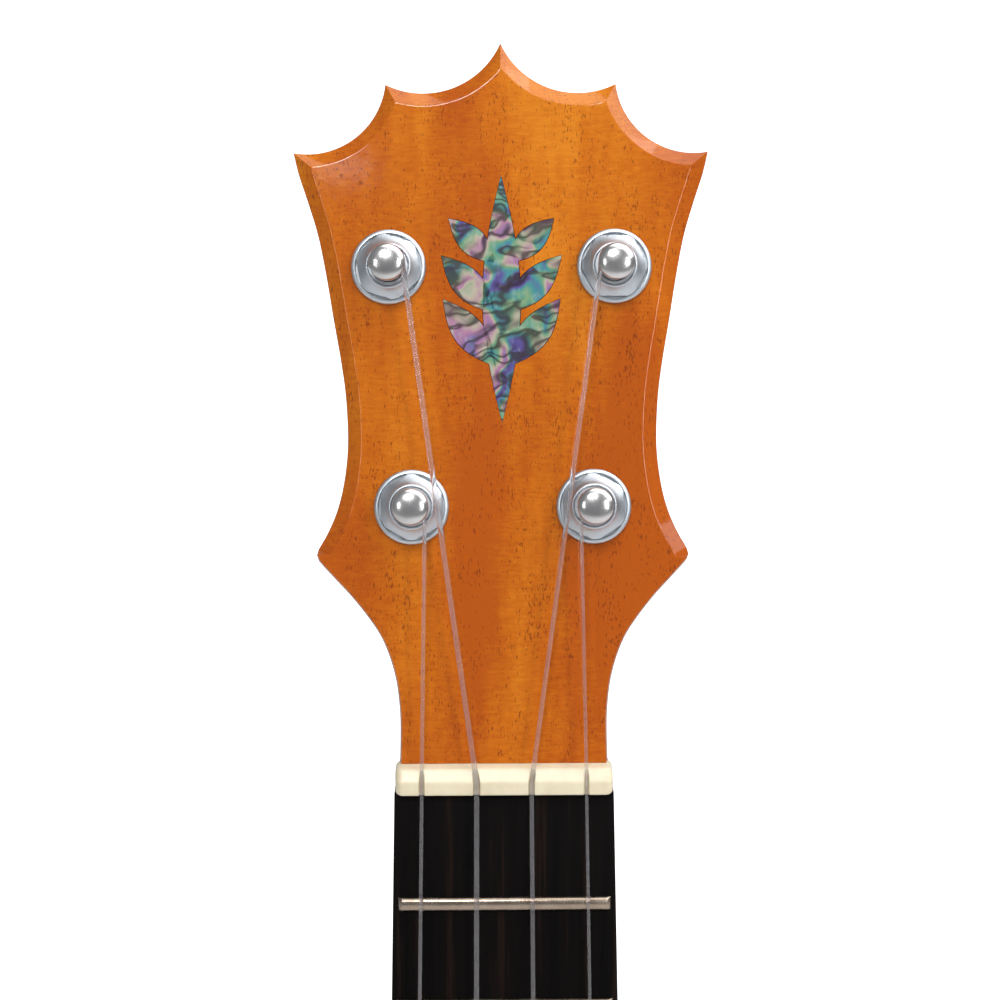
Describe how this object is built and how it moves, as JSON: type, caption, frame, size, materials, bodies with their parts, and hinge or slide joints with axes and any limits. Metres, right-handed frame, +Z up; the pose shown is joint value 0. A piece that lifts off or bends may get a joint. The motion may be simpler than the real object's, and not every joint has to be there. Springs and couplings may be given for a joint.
{
  "type": "soprano ukulele",
  "caption": "Small four-string wooden instrument with a crowned, back-tilted head, geared rear-facing tuners, a fretted neck and a hollow waisted body with a round soundhole.",
  "frame": {"origin": "on the centre line where the strings leave the nut, level with the fretboard's playing face, between the arms of a hanger that holds the head's ears", "axes": "+Z up the neck towards the head, -Y towards the strings, +Y towards the back, +X to the right of someone facing the strings"},
  "size_m": [0.17, 0.0653, 0.5386],
  "materials": {
    "neck_wood": "gloss lacquered amber hardwood",
    "veneer_wood": "gloss lacquered amber hardwood with dark pores",
    "body_wood": "gloss lacquered amber hardwood",
    "pale_wood": "raw",
    "ebony": "oiled, nearly black",
    "bone": "buffed cream bone",
    "inlay_shell": "polished iridescent shell",
    "fret_wire": "polished nickel silver",
    "polished_metal": "polished",
    "satin_metal": "satin plated",
    "gear_brass": "machined",
    "button_plastic": "glossy black",
    "clear_nylon": "translucent"
  },
  "bodies": {
    "ukulele": {"neck": "neck_wood", "head_veneer": "veneer_wood", "head_inlay": "inlay_shell", "nut": "bone", "fretboard": "ebony", "fret_01": "fret_wire", "fret_02": "fret_wire", "fret_03": "fret_wire", "fret_04": "fret_wire", "fret_05": "fret_wire", "fret_06": "fret_wire", "fret_07": "fret_wire", "fret_08": "fret_wire", "fret_09": "fret_wire", "fret_10": "fret_wire", "fret_11": "fret_wire", "fret_12": "fret_wire", "soundboard": "body_wood", "back": "body_wood", "side_left": "body_wood", "side_right": "body_wood", "neck_block": "pale_wood", "tail_block": "pale_wood", "bridge": "ebony", "saddle": "bone", "soundhole_brace": "pale_wood", "bridge_patch": "pale_wood", "back_brace": "pale_wood", "string_g": "clear_nylon", "string_c": "clear_nylon", "string_e": "clear_nylon", "string_a": "clear_nylon", "gear_case_g": "satin_metal", "gear_case_c": "satin_metal", "gear_case_e": "satin_metal", "gear_case_a": "satin_metal", "bushing_nut_g": "satin_metal", "bushing_nut_c": "satin_metal", "bushing_nut_e": "satin_metal", "bushing_nut_a": "satin_metal"},
    "knob_g": {"button_g": "button_plastic", "drive_shaft_g": "satin_metal"},
    "post_g": {"string_post_g": "polished_metal"},
    "first_planet_g": {"planet_1_g": "gear_brass"},
    "second_planet_g": {"planet_2_g": "gear_brass"},
    "knob_c": {"button_c": "button_plastic", "drive_shaft_c": "satin_metal"},
    "post_c": {"string_post_c": "polished_metal"},
    "first_planet_c": {"planet_1_c": "gear_brass"},
    "second_planet_c": {"planet_2_c": "gear_brass"},
    "knob_e": {"button_e": "button_plastic", "drive_shaft_e": "satin_metal"},
    "post_e": {"string_post_e": "polished_metal"},
    "first_planet_e": {"planet_1_e": "gear_brass"},
    "second_planet_e": {"planet_2_e": "gear_brass"},
    "knob_a": {"button_a": "button_plastic", "drive_shaft_a": "satin_metal"},
    "post_a": {"string_post_a": "polished_metal"},
    "first_planet_a": {"planet_1_a": "gear_brass"},
    "second_planet_a": {"planet_2_a": "gear_brass"}
  },
  "joints": [
    {"name": "button_turn_g", "type": "hinge", "parent": "ukulele", "child": "knob_g", "pos_m": [-0.0154, 0.01182, 0.04677], "axis": [0, -0.9763, 0.2164], "continuous": true},
    {"name": "post_turn_g", "type": "hinge", "parent": "ukulele", "child": "post_g", "pos_m": [-0.0154, 0.01182, 0.04677], "axis": [0, -0.9763, 0.2164], "continuous": true},
    {"name": "first_planet_turn_g", "type": "hinge", "parent": "post_g", "child": "first_planet_g", "pos_m": [-0.0118, 0.01182, 0.04677], "axis": [0, -0.9763, 0.2164], "continuous": true},
    {"name": "second_planet_turn_g", "type": "hinge", "parent": "post_g", "child": "second_planet_g", "pos_m": [-0.019, 0.01182, 0.04677], "axis": [0, -0.9763, 0.2164], "continuous": true},
    {"name": "button_turn_c", "type": "hinge", "parent": "ukulele", "child": "knob_c", "pos_m": [-0.0191, 0.02062, 0.08646], "axis": [0, -0.9763, 0.2164], "continuous": true},
    {"name": "post_turn_c", "type": "hinge", "parent": "ukulele", "child": "post_c", "pos_m": [-0.0191, 0.02062, 0.08646], "axis": [0, -0.9763, 0.2164], "continuous": true},
    {"name": "first_planet_turn_c", "type": "hinge", "parent": "post_c", "child": "first_planet_c", "pos_m": [-0.0155, 0.02062, 0.08646], "axis": [0, -0.9763, 0.2164], "continuous": true},
    {"name": "second_planet_turn_c", "type": "hinge", "parent": "post_c", "child": "second_planet_c", "pos_m": [-0.0227, 0.02062, 0.08646], "axis": [0, -0.9763, 0.2164], "continuous": true},
    {"name": "button_turn_e", "type": "hinge", "parent": "ukulele", "child": "knob_e", "pos_m": [0.0191, 0.02062, 0.08646], "axis": [0, -0.9763, 0.2164], "continuous": true},
    {"name": "post_turn_e", "type": "hinge", "parent": "ukulele", "child": "post_e", "pos_m": [0.0191, 0.02062, 0.08646], "axis": [0, -0.9763, 0.2164], "continuous": true},
    {"name": "first_planet_turn_e", "type": "hinge", "parent": "post_e", "child": "first_planet_e", "pos_m": [0.0227, 0.02062, 0.08646], "axis": [0, -0.9763, 0.2164], "continuous": true},
    {"name": "second_planet_turn_e", "type": "hinge", "parent": "post_e", "child": "second_planet_e", "pos_m": [0.0155, 0.02062, 0.08646], "axis": [0, -0.9763, 0.2164], "continuous": true},
    {"name": "button_turn_a", "type": "hinge", "parent": "ukulele", "child": "knob_a", "pos_m": [0.0154, 0.01182, 0.04677], "axis": [0, -0.9763, 0.2164], "continuous": true},
    {"name": "post_turn_a", "type": "hinge", "parent": "ukulele", "child": "post_a", "pos_m": [0.0154, 0.01182, 0.04677], "axis": [0, -0.9763, 0.2164], "continuous": true},
    {"name": "first_planet_turn_a", "type": "hinge", "parent": "post_a", "child": "first_planet_a", "pos_m": [0.019, 0.01182, 0.04677], "axis": [0, -0.9763, 0.2164], "continuous": true},
    {"name": "second_planet_turn_a", "type": "hinge", "parent": "post_a", "child": "second_planet_a", "pos_m": [0.0118, 0.01182, 0.04677], "axis": [0, -0.9763, 0.2164], "continuous": true}
  ],
  "couplings": [
    {"joint": "first_planet_turn_g", "follows": "button_turn_g", "ratio": -0.75},
    {"joint": "second_planet_turn_g", "follows": "button_turn_g", "ratio": -0.75},
    {"joint": "post_turn_g", "follows": "button_turn_g", "ratio": 0.25},
    {"joint": "first_planet_turn_c", "follows": "button_turn_c", "ratio": -0.75},
    {"joint": "second_planet_turn_c", "follows": "button_turn_c", "ratio": -0.75},
    {"joint": "post_turn_c", "follows": "button_turn_c", "ratio": 0.25},
    {"joint": "first_planet_turn_e", "follows": "button_turn_e", "ratio": -0.75},
    {"joint": "second_planet_turn_e", "follows": "button_turn_e", "ratio": -0.75},
    {"joint": "post_turn_e", "follows": "button_turn_e", "ratio": 0.25},
    {"joint": "first_planet_turn_a", "follows": "button_turn_a", "ratio": -0.75},
    {"joint": "second_planet_turn_a", "follows": "button_turn_a", "ratio": -0.75},
    {"joint": "post_turn_a", "follows": "button_turn_a", "ratio": 0.25}
  ]
}
